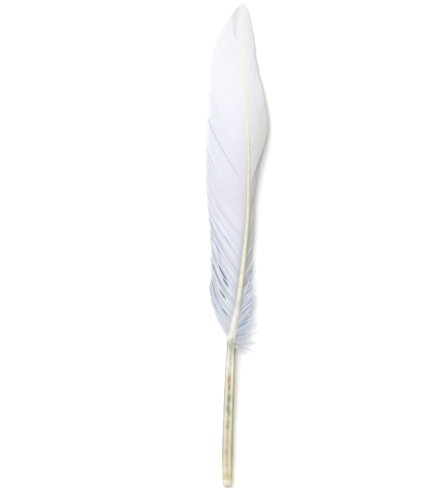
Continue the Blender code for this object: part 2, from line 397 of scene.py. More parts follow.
def shaft_mesh():
    """A grid rolled into a closed tube along the shaft's line, with a pit in the quill's end."""
    even_rings = np.arange(FIRST_EVEN_RING, RACHIS_END, RING_SPACING)
    rings = np.concatenate((END_RINGS, even_rings, (RACHIS_END,)))
    bm = bmesh.new()
    bmesh.ops.create_grid(bm, x_segments=SHAFT_FACES_AROUND, y_segments=len(rings) - 1, size=0.5)
    flat = np.array([vert.co for vert in bm.verts])
    turn = flat[:, 0]
    station = rings[np.round((flat[:, 1] + 0.5) * (len(rings) - 1)).astype(int)]
    place_layer = bm.loops.layers.float_vector.new("shaft")
    for face in bm.faces:
        for loop in face.loops:
            loop[place_layer] = (turn[loop.vert.index], station[loop.vert.index], 0)
    for vert, point in zip(bm.verts, in_row_frame(shaft_point(station, turn))):
        vert.co = point
    bmesh.ops.remove_doubles(bm, verts=bm.verts, dist=WELD_DISTANCE * MM)
    rims = [edge for edge in bm.edges if edge.is_boundary]
    caps = bmesh.ops.holes_fill(bm, edges=rims, sides=0)["faces"]
    bmesh.ops.recalc_face_normals(bm, faces=bm.faces)
    end_cap = min(caps, key=lambda face: face.calc_center_median().y)
    rim_radius = SHAFT_RADIUS[0][1] * QUILL_END_ROUNDING[0][1]
    bmesh.ops.inset_region(bm, faces=[end_cap], thickness=(rim_radius - END_PIT_RADIUS) * MM)
    bmesh.ops.inset_region(bm, faces=[end_cap], thickness=END_PIT_RADIUS / 3 * MM)
    bmesh.ops.translate(bm, verts=end_cap.verts, vec=(0, END_PIT_DEPTH * MM, 0))
    mesh = mesh_from(bm, "shaft")
    mesh.shade_smooth()
    return mesh


def mesh_points(mesh):
    """A mesh's corners in the frame of its own object."""
    flat = np.empty(len(mesh.vertices) * 3, np.float32)
    mesh.vertices.foreach_get("co", flat)
    return flat.reshape(-1, 3).astype(float)


# Each remain of pith: its station, how far across the quill it lies as a share of the radius,
# half its length, and how strong it is.
PITH_REMAINS = (
    (62.0, -0.12, 4.0, 0.8), (58.0, -0.05, 4.0, 0.7), (51.0, 0.0, 2.8, 1.15),
    (45.5, -0.15, 2.2, 1.1), (43.0, 0.1, 2.6, 0.7), (37.5, 0.05, 1.6, 0.7),
    (34.8, -0.1, 1.5, 0.8), (71.0, 0.2, 1.6, 0.3), (67.5, -0.3, 1.2, 0.2),
    (74.5, -0.05, 1.2, 0.35), (82.5, 0.35, 1.4, 0.5), (26.0, 0.1, 1.5, 0.3),
    (79.5, 0.1, 3.6, 0.45), (79.0, 0.75, 3.4, 0.8), (81.5, -0.4, 2.4, 0.45),
    (20.0, -0.2, 1.8, 0.35), (13.0, -0.1, 1.6, 0.35), (7.2, 0.1, 1.0, 0.3),
)
PITH_HALF_WIDTH = 0.32
# The white wedge's edge crosses the middle of the shaft here, and slants so much to a
# millimetre across.
WEDGE_START = 86.8
WEDGE_SLANT = 0.95

shaft = shaft_mesh()
shaft_mm = mesh_points(shaft) / MM + np.array((0, LENGTH / 2, 0))
shaft_station = np.clip(shaft_mm[:, 1], 0, LENGTH)
beside = np.sum((shaft_mm - shaft_centre(shaft_station)) * shaft_normal(shaft_station), axis=1)
set_floats(shaft, "filled", shaft_station - WEDGE_START - WEDGE_SLANT * beside)
pith_left = np.zeros(len(shaft_mm))
for at, share_across, half_length, strength in PITH_REMAINS:
    from_middle = beside / smooth(SHAFT_RADIUS, shaft_station) - share_across
    spot = ((shaft_station - at) / half_length) ** 2 + (from_middle / PITH_HALF_WIDTH) ** 2
    pith_left = np.maximum(pith_left, strength * np.exp(-spot))
set_floats(shaft, "pith", pith_left)
new_piece("quill_and_rachis", shaft, horn_material())


# The vanes. Each is several hundred barbs, thin ribs that branch off the rachis and hook into
# their neighbours, so that they lie edge to edge as one sheet. Where the hooks have let go, the
# sheet is split along the barbs. The narrow vane curls down beside the lower rachis.
BROAD, NARROW = -1, 1
FIRST_BARB = {BROAD: 84.0, NARROW: 99.0}
LAST_BARB = 266.0
BARB_SEGMENTS = {BROAD: 28, NARROW: 18}
BARB_COUNT = {BROAD: 400, NARROW: 380}
# A barb meets the vane's edge so far past its root, and the edge is so far from the shaft and
# hangs so far below it.
REACH = {
    BROAD: ((84, 29), (110, 31), (140, 38), (168, 45), (200, 46), (225, 38), (245, 27.5),
            (257, 20), (266, 14)),
    NARROW: ((84, -4), (90, 4), (98, 9), (110, 12), (125, 13), (145, 14.5), (155, 17),
             (163, 24), (171, 31), (185, 34), (200, 36), (225, 33), (245, 26), (257, 19),
             (266, 14)),
}
WIDTH = {
    BROAD: ((113, 18.4), (125, 18.8), (135, 19.6), (150, 21.8), (165, 23.6), (180, 24.4),
            (195, 24.4), (205, 23.8), (219, 22.6), (236, 20.8), (248, 18.9), (260, 14.8),
            (270, 8.8), (276, 4.3), (280, 0)),
    NARROW: ((80, 9.5), (88, 11.5), (98, 11.6), (108, 9.2), (118, 6.4), (130, 4.7), (145, 4),
             (158, 3.5), (166, 3.4), (172, 4.0), (178, 4.9), (184, 5.8), (189, 6.7),
             (194, 7.8), (200, 9.7), (205, 11.6), (211, 11.8), (219, 10.9), (230, 9.2),
             (240, 7.3), (247, 6.7), (257, 5.9), (266, 4.6), (273, 3.2), (277, 1.8), (280, 0)),
}
DROP = {
    BROAD: ((84, 9), (113, 8), (128, 7), (150, 6), (190, 6), (230, 4.4), (255, 2.1), (280, 0)),
    NARROW: ((80, 8), (105, 7.6), (125, 5.8), (150, 4.3), (175, 3.5), (190, 3.6), (207, 3.6),
             (225, 2.1), (245, 1.0), (262, 0.6), (280, 0)),
}
DROP_POWER = ((84, 1.7), (165, 1.7), (203, 2.6), (280, 2.4))
# How far above the shaft's middle line a barb leaves it, in radii.
ATTACHED = {BROAD: ((84, 0.1), (150, 0.2), (195, 0.4), (220, 0.95), (240, 1.15), (280, 1.4)),
            NARROW: ((84, 0.2), (150, 0.15), (195, 0.4), (220, 0.95), (240, 1.15), (280, 1.4))}
# A barb runs out straight for this share of its reach, and sweeps towards the tip in the rest.
STRAIGHT_SHARE = {
    BROAD: ((84, 0.8), (90, 0.68), (96, 0.56), (102, 0.62), (108, 0.74), (114, 0.8), (266, 0.8)),
    NARROW: ((84, 0.95), (225, 0.95), (266, 0.8)),
}
SWEEP_POWER = 5
ARCH = {BROAD: ((84, 0.5), (130, 0.7), (190, 0.5), (266, 0.1)), NARROW: ((84, 0.3), (266, 0.1))}
LOWEST = 0.25
SURFACE_BLEND = 0.5
# Near the tip the barbs of both vanes meet over the rachis and hide it.
CROSSING = ((84, 0), (200, 0), (228, 0.5), (280, 0.45))


def vane_surface(side, root, share, crossing):
    """Points of a vane's surface, by a barb's root, the share along it, and how far it crosses."""
    edge = root + smooth(REACH[side], root)
    straight = smooth(STRAIGHT_SHARE[side], root)
    station = root + (edge - root) * (straight * share + (1 - straight) * share**SWEEP_POWER)
    beyond = smooth(CROSSING, station) * crossing * (1 - share)
    away = side * (smooth(WIDTH[side], edge) * share - beyond)
    points = shaft_centre(station) + shaft_normal(station) * away[:, None]
    points[:, 2] += smooth(ATTACHED[side], station) * smooth(SHAFT_RADIUS, station)
    points[:, 2] -= smooth(DROP[side], edge) * share ** smooth(DROP_POWER, edge)
    points[:, 2] += smooth(ARCH[side], root) * np.sin(math.pi * np.sqrt(np.clip(share, 0, 1)))
    return points


def above_surface(height):
    """Heights eased so that they stay above the surface that the feather lies on."""
    over = height - LOWEST
    return LOWEST + (over + np.hypot(over, SURFACE_BLEND)) / 2


def grow_strand(bm, corners, length, segments):
    """Extrudes a face with these corners along Y into a closed strand of so many segments."""
    end = bm.faces.new(corners)
    for _ in range(segments):
        grown = bmesh.ops.extrude_face_region(bm, geom=[end])["geom"]
        end = next(part for part in grown if isinstance(part, bmesh.types.BMFace))
        bmesh.ops.translate(bm, verts=end.verts, vec=(0, length / segments, 0))


def bed_of_barbs(count, segments):
    """Straight barbs, a unit long along Y and a unit apart along X, each a closed strip."""
    bm = bmesh.new()
    corners = [bm.verts.new(place) for place in ((-0.5, 0, 0), (0.5, 0, 0), (0, 0, 1))]
    grow_strand(bm, corners, 1, segments)
    bmesh.ops.recalc_face_normals(bm, faces=bm.faces)
    return arrayed(mesh_from(bm, "barb"), count)


def arrayed(mesh, count):
    """Copies of a mesh side by side along X, a unit apart, as one mesh."""
    row = in_scene("row", mesh)
    array = row.modifiers.new("side_by_side", "ARRAY")
    array.count = count
    array.use_relative_offset = False
    array.use_constant_offset = True
    array.constant_offset_displace = (1, 0, 0)
    evaluated = row.evaluated_get(bpy.context.evaluated_depsgraph_get())
    made = bpy.data.meshes.new_from_object(evaluated)
    bpy.data.objects.remove(row)
    bpy.data.meshes.remove(mesh)
    return made


# Each split seen in the photograph: the root between its barbs, the shares where it opens and
# closes, half its gap, how much higher its tipward side lies, how many millimetres give way, how
# much painted shade darkens its quillward side, and how dark the painted shadow in its crack is.
OPEN = 9
SPLITS = {
    BROAD: (
        (170.0, 0.20, OPEN, 0.20, 0.55, 1.8, -0.02, 0.42),
        (184.5, 0.60, OPEN, 0.10, 0.3, 2.0, -0.01, 0.20),
        (111.3, 0.58, 0.98, 0.03, 0.20, 1.0, 0.03, 1.60),
        (109.0, 0.36, 0.74, 0.03, 0.20, 1.2, 0.05, 2.20),
        (107.1, 0.34, 0.64, 0.05, -0.20, 1.2, 0.04, 2.20),
        (103.5, 0.30, OPEN, 0.20, 0.40, 2.0, 0.03, 0.60),
        (100.5, 0.36, 0.66, 0.05, 0.30, 1.4, 0.06, 2.30),
        (93.8, 0.26, 0.58, 0.05, -0.30, 1.4, 0.02, 1.60),
        (138.5, 0.25, 0.80, 0.05, 0.10, 0.6, 0.02, 0.40),
        (128.6, 0.28, 0.58, 0.05, 0.0, 0.6, 0.02, 0.55),
        (127.0, 0.55, 0.85, 0.05, 0.10, 0.6, 0.02, 0.30),
        (131.5, 0.62, 0.90, 0.05, 0.10, 0.6, 0.02, 0.40),
        (121.0, 0.42, 0.80, 0.06, -0.10, 0.8, 0.02, 0.30),
        (116.0, 0.34, 0.80, 0.06, 0.10, 0.8, 0.02, 0.40),
        (146.5, 0.55, OPEN, 0.06, 0.10, 0.6, 0.02, 0.25),
        (154.0, 0.70, OPEN, 0.06, -0.10, 0.6, 0.02, 0.22),
    ),
    NARROW: (
        (209.0, 0.60, OPEN, 0.20, 0.25, 3.0, 0.02, 0.04),
        (189.0, 0.70, OPEN, 0.14, -0.20, 3.0, 0.02, 0.04),
        (236.0, 0.75, OPEN, 0.08, 0.10, 3.0, 0.01, 0.02),
    ),
}
# Between them lie small chance splits, stronger towards the base. Some open to the edge.
SPLIT_STRENGTH = ((84, 2.2), (115, 1.9), (126, 0.7), (150, 0.45), (170, 0.25), (200, 0.15),
                  (266, 0.1))
SPLIT_APART = (1.0, 3.2)
# They start so far past the first barb and stop so far before the last.
SPLITS_START, SPLITS_STOP = 1, 3
# Chance splits get painted shade on one side and a painted shadow in the crack.
SPLIT_SHADE = (0.004, 0.016)
SPLIT_CRACK_SHADOW = (0.02, 0.15)
SPLIT_SPREAD, SPREAD_PER_STRENGTH = 0.35, 0.25
EDGE_SPLIT_CHANCE = 0.3
EDGE_SPLIT_SPREAD = 2
EDGE_SPLIT_OPENS, EDGE_SPLIT_GAP, EDGE_SPLIT_STEP = (0.55, 0.9), (0.08, 0.2), (0.06, 0.18)
INNER_SPLIT_OPENS, INNER_SPLIT_LENGTH = (0.05, 0.6), (0.2, 0.8)
INNER_SPLIT_GAP, INNER_SPLIT_STEP = (0.02, 0.08), (0.02, 0.07)
# A split is narrow where it starts, and fades in and out over this share of the barbs' length.
SPLIT_START_WIDTH = 0.4
SPLIT_END_RUN = 0.12
CRACK_SHADOW_WIDTH = 0.45
# Painted highlight on the tipward side of a split, most of all on the first barb past the crack.
LIT_SIDE = 0.25
LIT_RIM = 0.25
LIT_RIM_CRACK = 0.4


def chance_splits(side, rng):
    """Small splits and steps between groups of barbs, wherever the hooks let go a little."""
    splits = []
    at = FIRST_BARB[side] + SPLITS_START
    while at < LAST_BARB - SPLITS_STOP:
        strength = smooth(SPLIT_STRENGTH, at)
        up_or_down = rng.choice((-1, 1)) * strength
        shade = rng.uniform(*SPLIT_SHADE) * strength
        crack = rng.uniform(*SPLIT_CRACK_SHADOW) * strength
        spread = SPLIT_SPREAD + SPREAD_PER_STRENGTH * strength
        if rng.random() < EDGE_SPLIT_CHANCE:
            opens, closes = rng.uniform(*EDGE_SPLIT_OPENS), OPEN
            gap = rng.uniform(*EDGE_SPLIT_GAP) * strength
            step = up_or_down * rng.uniform(*EDGE_SPLIT_STEP)
            spread *= EDGE_SPLIT_SPREAD
        else:
            opens = rng.uniform(*INNER_SPLIT_OPENS)
            closes = opens + rng.uniform(*INNER_SPLIT_LENGTH)
            gap = rng.uniform(*INNER_SPLIT_GAP) * strength
            step = up_or_down * rng.uniform(*INNER_SPLIT_STEP)
        splits.append((at, opens, closes, gap, step, spread, shade, crack))
        at += rng.uniform(*SPLIT_APART)
    return splits


# Where the hooks have let go, neighbours cling together in clumps that taper to a point.
CLUMPING = {BROAD: ((84, 0.62), (104, 0.55), (116, 0.28), (130, 0.06), (180, 0.04), (266, 0.03)),
            NARROW: ((84, 0.8), (112, 0.7), (128, 0.4), (150, 0.15), (190, 0.06), (266, 0.03))}
CLUMP_WIDTH = (0.9, 3.2)
CLUMP_BORDERS = 250
CLUMP_DRAWS = 300
CLUMP_FROM = (0.15, 0.6)
CLUMP_TO = 1.1
CLUMP_SCATTER = 0.9
CLUMP_LIFT = 0.5


def clumps(side, roots, rng):
    """For each barb, its clump's number and how far the middle of that clump is from its root."""
    borders = FIRST_BARB[side] + np.cumsum(rng.uniform(*CLUMP_WIDTH, CLUMP_BORDERS))
    number = np.searchsorted(borders, roots)
    starts = np.concatenate(((FIRST_BARB[side],), borders))
    return number, (starts[number] + borders[number]) / 2 - roots


def opening(share, opens, closes):
    """How far a split has opened, from 0 at its inner end, widest at the edge of the vane."""
    widening = np.clip((share - opens) / (1 - opens), 0, 1)
    widening = SPLIT_START_WIDTH + (1 - SPLIT_START_WIDTH) * widening
    opened = ramp(opens, opens + SPLIT_END_RUN, share)
    return opened * (1 - ramp(closes - SPLIT_END_RUN, closes, share)) * widening


def part_at_splits(splits, barbs, shift, lift, tone):
    """Parts the barbs at each split, one side higher, with painted shade, shadow and highlight."""
    roots, own_root, share, spacing = barbs
    for at, opens, closes, gap, step, spread, shade, crack in splits:
        away = own_root - roots[np.argmin(np.abs(roots - at))]
        opened = opening(share, opens, closes)
        near = np.exp(-np.abs(away) / spread) * opened
        shift += np.sign(away) * gap * near
        lift += np.sign(away) * step * near / 2
        # Painted shade on the quillward side, a painted highlight on the tipward side and on the
        # rim past the crack, and a painted shadow in the crack.
        tone += np.where(away < 0, -shade, LIT_SIDE * shade) * near
        tone -= crack * np.exp(-((away / CRACK_SHADOW_WIDTH) ** 2)) * opened
        rim = np.exp(-(((away - 2 * spacing) / spacing) ** 2))
        tone += min(crack, LIT_RIM_CRACK) * LIT_RIM * rim * opened


# At the base the barbs are loose: each wanders to the sides and up, and is thinner but rounder.
LOOSE = {BROAD: ((84, 1), (96, 0.9), (110, 0.55), (124, 0.15), (140, 0), (266, 0)),
         NARROW: ((84, 1), (112, 1), (124, 0.55), (140, 0.15), (150, 0), (266, 0))}
LOOSE_FROM = {BROAD: 0.40, NARROW: 0.05}
LOOSE_THINNING = {BROAD: 0.35, NARROW: 0.7}
LOOSE_THICKENING = 0.8
LOOSE_LIFT = 0.35
LOOSE_WANDER = 0.7
WANDER_BENDS = (1.5, 5)
FULL_TURN = 6.3
# Single barbs take the dye and the light a little differently, most of all at the base.
STREAKS = ((84, 0.16), (110, 0.14), (122, 0.1), (135, 0.06), (150, 0.03), (190, 0.01), (266, 0.004))
STREAK_RANGE = (-2, 0.8)
STREAK_AT_SHAFT = 0.3
STREAK_FADE_IN = (0.05, 0.3)
UNEVENNESS = ((84, 0.03), (140, 0.03), (180, 0.012), (266, 0.005))
UNEVEN_LENGTH = 0.012
FRAYED_LENGTH = 0.22
# A few long barbs have come loose and run up along the broad vane's edge, with a painted highlight.
# These are the roots of the first and the last.
STRAY_BARBS = {BROAD: (109.8, 110.4), NARROW: (0, 0)}
STRAY_FROM = 0.6
STRAY_RUN = 5.5
STRAY_LIFT = 0.6
STRAY_SHORTENING = 0.1
STRAY_PAINTED_SHINE = 0.14


def loosened(side, roots, barb, share, loose, rng):
    """Each barb's own length, shift towards the tip, lift and tone, before any split opens."""
    count = len(roots)
    own_root = roots[barb]
    length = 1 - rng.uniform(0, UNEVEN_LENGTH, count)[barb]
    length -= rng.uniform(0, FRAYED_LENGTH, count)[barb] * smooth(LOOSE[side], own_root)
    phase = rng.uniform(0, FULL_TURN, count)[barb]
    wander = np.sin(phase + rng.uniform(*WANDER_BENDS, count)[barb] * share)
    shift = wander * loose * LOOSE_WANDER
    lift = rng.normal(0, 1, count)[barb] * share * smooth(UNEVENNESS, own_root)
    lift += rng.normal(0, LOOSE_LIFT, count)[barb] * loose
    streak = np.clip(rng.normal(0, 1, count), *STREAK_RANGE)[barb] * smooth(STREAKS, own_root)
    streak *= STREAK_AT_SHAFT + (1 - STREAK_AT_SHAFT) * ramp(*STREAK_FADE_IN, share)

    clump, to_middle = clumps(side, roots, rng)
    clump_from = rng.uniform(*CLUMP_FROM, CLUMP_DRAWS)[clump][barb]
    pull = smooth(CLUMPING[side], own_root) * ramp(clump_from, CLUMP_TO, share)
    shift += (to_middle[barb] + rng.normal(0, CLUMP_SCATTER, CLUMP_DRAWS)[clump][barb]) * pull
    lift += rng.normal(0, CLUMP_LIFT, CLUMP_DRAWS)[clump][barb] * pull

    first_stray, last_stray = STRAY_BARBS[side]
    stray = ramp(STRAY_FROM, 1, share) * (own_root > first_stray) * (own_root < last_stray)
    shift += STRAY_RUN * stray
    lift += STRAY_LIFT * stray
    # The stray barbs are lightened by a painted highlight.
    return length - STRAY_SHORTENING * stray, shift, lift, 1 + streak + STRAY_PAINTED_SHINE * stray


# The soft fold near the tip of the broad vane: its middle and half of its width by station,
# how deep it dips and how much painted shade darkens it.
FOLD_MIDDLE = ((255, 0.1), (258, -0.5), (260.5, -1.4), (266, -1.75), (272, -1.25), (276, -0.3))
FOLD_HALF_WIDTH = ((255, 0.4), (260.5, 0.75), (266, 1.1), (272, 1.9), (276, 1.9))
FOLD_FADE_IN = (256, 260)
FOLD_DEPTH = 0.2
FOLD_SHADE = 0.125


def fold_share(points):
    """How deep in the fold near the tip each point lies, from 0 outside it to 1."""
    station = points[:, 1]
    away = (points[:, 0] - smooth(FOLD_MIDDLE, station)) / smooth(FOLD_HALF_WIDTH, station)
    return ramp(*FOLD_FADE_IN, station) * np.exp(-(away**2))


# Tipward of some splits the barbs end a little short, which leaves a notch: the root, how much
# of their length is missing, and over how many millimetres that fades.
NOTCHES = {BROAD: ((170.0, 0.055, 6.0), (184.5, 0.055, 5.0)), NARROW: ((213.0, 0.08, 5.0),)}
# Beside the shaft the barbs are creamier, and painted shade from the rachis darkens them.
CREAM_AND_SHADE_AT_SHAFT = {
    BROAD: ((84, 0.7), (130, 0.65), (170, 0.8), (205, 0.6), (225, 0.7), (266, 0.8)),
    NARROW: ((84, 0.4), (115, 0.9), (140, 0.9), (180, 0.8), (215, 0.8), (266, 0.8)),
}
CREAM_AND_SHADE_REACH = ((84, 4.0), (110, 2.4), (160, 1.7), (200, 1.5), (225, 2.8), (266, 3.2))
CREAM_AND_SHADE_FROM = 0.8
SHAFT_SHADE = {BROAD: ((84, 0), (130, 0.04), (170, 0.055), (205, 0.04), (228, 0), (266, 0)),
               NARROW: ((84, 0), (118, 0.03), (135, 0.04), (152, 0), (170, 0.02), (184, 0.05),
                        (200, 0.045), (212, 0.015), (226, 0), (266, 0))}
SHAFT_SHADE_REACH = 6
# Where the narrow vane turns down beside the rachis, painted shade makes its outer part darker
# and less blue.
TURNED_SHADE = {BROAD: ((84, 0), (266, 0)),
                NARROW: ((84, 0), (125, 0.01), (148, 0.065), (165, 0.09), (180, 0.12), (186, 0.1),
                         (192, 0.065), (198, 0.025), (213, 0), (266, 0))}
TURNED_FULL = 0.7
TURNED_SHADE_MIX = 5
# Each barb is a low ridge that laps a little over the next one, like a shingle, and thins to a
# fine tip. How far it crosses the rachis differs from barb to barb.
RIDGE = ((84, 0.11), (165, 0.11), (210, 0.05), (266, 0.035))
SHINGLE = ((84, 0.07), (165, 0.07), (210, 0.03), (266, 0.015))
OVERLAP = 1.16
BARB_TIP_WIDTH = 0.15
BARB_TIP_RUN = 0.07
# The darkest that painted shade and painted crack shadows leave a barb.
DARKEST_PAINTED_SHADE = 0.15
CROSSING_SPREAD = (0.1, 1.1)


def comb_vane(side, seed):
    """A bed of barbs combed onto a vane's surface, parted at its splits and loose at its base."""
    rng = np.random.default_rng(seed)
    count = BARB_COUNT[side]
    mesh = bed_of_barbs(count, BARB_SEGMENTS[side])
    bed = mesh_points(mesh)
    # A corner halfway between two barbs goes to the even one, so every second barb spans from
    # neighbour to neighbour. That closes the vane, as the hooks of real barbs do.
    barb = np.clip(np.round(bed[:, 0]), 0, count - 1).astype(int)
    across, share, ridge = bed[:, 0] - barb, bed[:, 1], bed[:, 2]
    spacing = (LAST_BARB - FIRST_BARB[side]) / count
    roots = FIRST_BARB[side] + (np.arange(count) + 0.5) * spacing
    own_root = roots[barb]

    loose = smooth(LOOSE[side], own_root) * ramp(LOOSE_FROM[side], 1, share)
    length, shift, lift, tone = loosened(side, roots, barb, share, loose, rng)
    splits = (*SPLITS[side], *chance_splits(side, rng))
    part_at_splits(splits, (roots, own_root, share, spacing), shift, lift, tone)
    for notch, shortened, fades_over in NOTCHES[side]:
        length -= shortened * (own_root > notch) * np.exp(-np.abs(own_root - notch) / fades_over)

    from_shaft = share * smooth(WIDTH[side], own_root + smooth(REACH[side], own_root))
    # Painted shade beside the shaft.
    tone -= smooth(SHAFT_SHADE[side], own_root) * np.exp(-((from_shaft / SHAFT_SHADE_REACH) ** 2))
    # Painted shade on the outer part of the narrow vane where it turns down.
    turned = smooth(TURNED_SHADE[side], own_root) * ramp(0, TURNED_FULL, share)
    tone = np.maximum(tone - turned, DARKEST_PAINTED_SHADE)

    tip_taper = BARB_TIP_WIDTH + (1 - BARB_TIP_WIDTH) * np.clip((1 - share) / BARB_TIP_RUN, 0, 1)
    width = spacing * OVERLAP * tip_taper * (1 - LOOSE_THINNING[side] * loose)
    own_line = own_root + across * width
    crossing = rng.uniform(*CROSSING_SPREAD, count)[barb]
    points = vane_surface(side, own_line + shift, share * length, crossing)
    thickness = smooth(RIDGE, own_root) * tip_taper * (1 + LOOSE_THICKENING * loose)
    fold = fold_share(points)
    points[:, 2] += lift + ridge * thickness - side * across * smooth(SHINGLE, own_root)
    points[:, 2] -= FOLD_DEPTH * fold
    points[:, 2] = above_surface(points[:, 2])
    place_points(mesh, points)

    set_vectors(mesh, "strand", (own_line, share * smooth(REACH[side], own_root), loose))
    # Painted shade in the fold.
    set_floats(mesh, "tone", tone - FOLD_SHADE * fold)
    # How far the barbs take the cream and the painted shade of the colours at the shaft.
    beyond = np.maximum(from_shaft - CREAM_AND_SHADE_FROM, 0) / smooth(CREAM_AND_SHADE_REACH, own_root)
    near_shaft = smooth(CREAM_AND_SHADE_AT_SHAFT[side], own_root) * np.exp(-(beyond**2))
    set_floats(mesh, "near_shaft", np.maximum(near_shaft, TURNED_SHADE_MIX * turned))
    return mesh


# Colours as a screen shows them, by the share of the feather's length, and the dye's patches.
BARB_COLOURS = (
    (0.30, (211, 211, 216)), (0.42, (215, 217, 224)), (0.54, (220, 220, 227)),
    (0.59, (217, 218, 225)), (0.65, (221, 221, 227)), (0.71, (225, 224, 229)),
    (0.80, (226, 226, 230)), (0.90, (226, 225, 228)), (1.00, (223, 222, 224)),
)
# Beside the shaft: cream, darkened by painted shade.
AT_SHAFT_CREAM_AND_SHADE = (
    (0.34, (186, 188, 190)), (0.43, (181, 181, 173)), (0.50, (190, 188, 177)),
    (0.60, (214, 211, 203)), (0.70, (225, 223, 214)), (0.78, (222, 222, 216)),
    (0.88, (223, 223, 220)),
)
DYE_PATCHES_IN_A_METRE = 38.0
DYE_COLOURS = ((0.36, (247, 251, 255)), (0.5, (251, 252, 255)), (0.64, (254, 251, 255)))
BARB_GRAIN_FADE = (0.5, 0.75)
BARB_GRAIN_AT_BASE = 0.1
BARB_GRAIN_AT_TIP = 0.03


def barb_material():
    """White barbs with a pale lilac dye that took unevenly, bluer and greyer to the base."""
    material, tree, shader = new_material("dyed_barbs", {
        "Roughness": 0.72, "Specular IOR Level": 0.25, "Sheen Weight": 0.15,
        "Sheen Roughness": 0.5})
    strand = add_attribute(tree, "strand", "Vector")
    place = add_node(tree, "TexCoord").outputs["Object"]
    station = add_node(tree, "SeparateXYZ", {0: place}).outputs["Y"]
    from_quill_end = add_maths(tree, "ADD", station, LENGTH / 2 * MM)
    along = add_maths(tree, "DIVIDE", from_quill_end, LENGTH * MM)
    colour = add_ramp(tree, along, shown_stops(BARB_COLOURS))
    noise = {"Vector": place, "Scale": DYE_PATCHES_IN_A_METRE, "Detail": 2.0}
    patches = add_node(tree, "TexNoise", noise)
    dyed = add_ramp(tree, patches.outputs["Fac"], shown_stops(DYE_COLOURS))
    colour = add_mix(tree, 1.0, colour, dyed, "MULTIPLY")
    # The cream and painted shade beside the shaft.
    at_shaft = add_ramp(tree, along, shown_stops(AT_SHAFT_CREAM_AND_SHADE))
    colour = add_mix(tree, add_attribute(tree, "near_shaft", "Fac"), colour, at_shaft)
    strength = add_range(tree, along, *BARB_GRAIN_FADE, BARB_GRAIN_AT_BASE, BARB_GRAIN_AT_TIP)
    grain = add_fibre_grain(tree, strand, across=1.8, along=0.15, strength=strength)
    tone = add_maths(tree, "MULTIPLY", add_attribute(tree, "tone", "Fac"), grain.outputs["Tone"])
    tree.links.new(add_toned(tree, colour, tone), shader.inputs["Base Color"])
    hatch = add_fibre_grain(tree, strand, across=9.0, along=6.0, strength=0.1)
    bump = add_bump(tree, hatch, strength=0.25, distance=0.04)
    tree.links.new(bump, shader.inputs["Normal"])
    return material


DYED_BARBS = barb_material()
new_piece("broad_vane", comb_vane(BROAD, seed=21), DYED_BARBS)
new_piece("narrow_vane", comb_vane(NARROW, seed=22), DYED_BARBS)


# The down at the base. Its barbs have no hooks, so each stands by itself, with long fine
# barbules on both sides that make it soft. It grows from the shaft below the closed vanes.
DOWN_COUNT = {BROAD: 90, NARROW: 240}
DOWN_ROOTS = {BROAD: (83.5, 114), NARROW: (82.0, 128)}
# One straight downy barb is made first, and its copies are bent along their own paths.
UNIT_BARB = 20.0
DOWN_SEGMENTS = 16
DOWN_STRAND_WIDTH = 0.17
BARBULES_A_SIDE = 60
# A barbule's length swells towards the middle of its barb, varies from one to the next, and
# falls off near the barb's tip.
BARBULE_LENGTH = 2.1
BARBULE_LEAST, BARBULE_SWELL = 0.55, 0.45
SWELL_FROM, SWELL_PACE = 0.1, 1.3
BARBULE_STEADY, BARBULE_VARYING, BARBULE_RHYTHM = 0.8, 0.2, 2.4
BARBULE_TIP_LOSS, BARBULE_TIP_FROM = 0.5, 0.75
BARBULE_RADIUS = 0.06
BARBULE_ANGLE = 52
BARBULE_BEND = 0.35
BARBULE_FLATNESS = (0.6, 0.5)
SQUEEZED = 100
# The barbules at its tip reach past its end.
PAST_END = 1.08


def barbule_length(number, share):
    """A barbule's length, by its number and by how far along the barb it grows."""
    swell = math.sin(math.pi * min(1, share * SWELL_PACE + SWELL_FROM))
    length = BARBULE_LENGTH * (BARBULE_LEAST + BARBULE_SWELL * swell)
    length *= BARBULE_STEADY + BARBULE_VARYING * math.sin(number * BARBULE_RHYTHM)
    near_tip = max(0, share - BARBULE_TIP_FROM)
    return length * (1 - BARBULE_TIP_LOSS * near_tip / (1 - BARBULE_TIP_FROM))


def downy_barb():
    """One straight downy barb along Y: a thin strand, with barbules as fine bent cones."""
    bm = bmesh.new()
    half = DOWN_STRAND_WIDTH / 2
    places = ((-half, 0, -half / 2), (half, 0, -half / 2), (0, 0, half))
    grow_strand(bm, [bm.verts.new(place) for place in places], UNIT_BARB, DOWN_SEGMENTS)
    angle = math.radians(BARBULE_ANGLE)
    wide, high = BARBULE_FLATNESS
    for number in range(BARBULES_A_SIDE * 2):
        side = 1 if number % 2 else -1
        share = (number + 0.5) / (BARBULES_A_SIDE * 2)
        length = barbule_length(number, share)
        made = bmesh.ops.create_cone(bm, cap_ends=True, segments=3, radius1=BARBULE_RADIUS,
                                     radius2=0, depth=length)
        bmesh.ops.translate(bm, verts=made["verts"], vec=(0, 0, length / 2))
        for vert in made["verts"]:
            out = vert.co.z
            bend = angle * (1 - BARBULE_BEND * out / length)
            vert.co = (side * (out * math.sin(bend) + vert.co.x * wide),
                       share * UNIT_BARB + out * math.cos(bend) + vert.co.y,
                       vert.co.x * high)
    bmesh.ops.recalc_face_normals(bm, faces=bm.faces)
    # Squeezed, so that every corner of a copy in the row lies nearest to its own number.
    bmesh.ops.scale(bm, verts=bm.verts, vec=(1 / SQUEEZED, 1, 1))
    return mesh_from(bm, "downy_barb")


# A downy barb leaves the shaft at its start angle and turns to its end angle, in degrees.
START_ANGLE = {BROAD: ((82, 40), (92, 34), (120, 30)),
               NARROW: ((82, 122), (86, 96), (92, 66), (100, 46), (128, 26))}
END_ANGLE = {BROAD: ((82, 14), (120, 14)), NARROW: ((82, 108), (88, 56), (96, 28), (128, 8))}
DOWN_LENGTH = {BROAD: ((82, 22), (95, 29), (120, 33)),
               NARROW: ((82, 15), (90, 19), (104, 20), (128, 11))}
